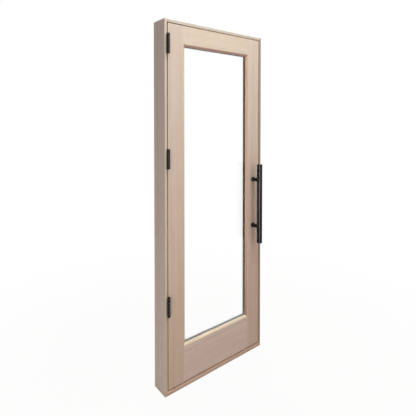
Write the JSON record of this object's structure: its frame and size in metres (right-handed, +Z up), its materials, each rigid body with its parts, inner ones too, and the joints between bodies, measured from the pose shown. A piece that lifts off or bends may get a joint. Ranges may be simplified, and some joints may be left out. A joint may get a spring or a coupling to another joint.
{
  "type": "pre-hung sauna door",
  "caption": "Full-height glazed sauna door of clear softwood, hung in its box frame on black butt hinges, with a long round black pull bar outside and a wooden grip inside.",
  "frame": {"origin": "middle of the sill's underside, where the unit stands in its rough opening", "axes": "+Z up the door, +X to the latch side seen from outside, -Y out of the outside face, the way the leaf opens"},
  "size_m": [0.754, 0.1975, 2.0865],
  "materials": {
    "clear_softwood": "knot-free pinkish tan softwood, sanded smooth and left bare",
    "clear_glass": "clear toughened glass in a sealed unit of two panes",
    "black_spacer": "matt black spacer bar and sealant",
    "black_steel": "satin black powder coat on steel",
    "bright_steel": "nickel plated, satin"
  },
  "bodies": {
    "frame": {"sill": "clear_softwood", "hinge_jamb": "clear_softwood", "latch_jamb": "clear_softwood", "header_jamb": "clear_softwood", "head_stop": "clear_softwood", "hinge_side_stop": "clear_softwood", "latch_side_stop": "clear_softwood", "catch_keeper": "bright_steel", "top_hinge_frame_plate": "black_steel", "top_hinge_pin": "black_steel", "middle_hinge_frame_plate": "black_steel", "middle_hinge_pin": "black_steel", "bottom_hinge_frame_plate": "black_steel", "bottom_hinge_pin": "black_steel"},
    "leaf": {"hinge_stile": "clear_softwood", "latch_stile": "clear_softwood", "top_rail": "clear_softwood", "bottom_rail": "clear_softwood", "outer_hinge_side_bead": "clear_softwood", "outer_top_bead": "clear_softwood", "outer_latch_side_bead": "clear_softwood", "outer_bottom_bead": "clear_softwood", "inner_hinge_side_bead": "clear_softwood", "inner_top_bead": "clear_softwood", "inner_latch_side_bead": "clear_softwood", "inner_bottom_bead": "clear_softwood", "outer_pane": "clear_glass", "inner_pane": "clear_glass", "glass_spacer": "black_spacer", "top_hinge_leaf_plate": "black_steel", "middle_hinge_leaf_plate": "black_steel", "bottom_hinge_leaf_plate": "black_steel", "outer_pull_bar": "black_steel", "outer_pull_upper_post": "black_steel", "outer_pull_lower_post": "black_steel", "inner_pull_bar": "clear_softwood", "inner_pull_upper_post": "clear_softwood", "inner_pull_lower_post": "clear_softwood", "catch_magnet": "bright_steel"}
  },
  "joints": [
    {"name": "door_swing", "type": "hinge", "parent": "frame", "child": "leaf", "pos_m": [-0.35825, -0.0675, 1.044], "axis": [0, 0, -1], "range_deg": [0, 170]}
  ]
}
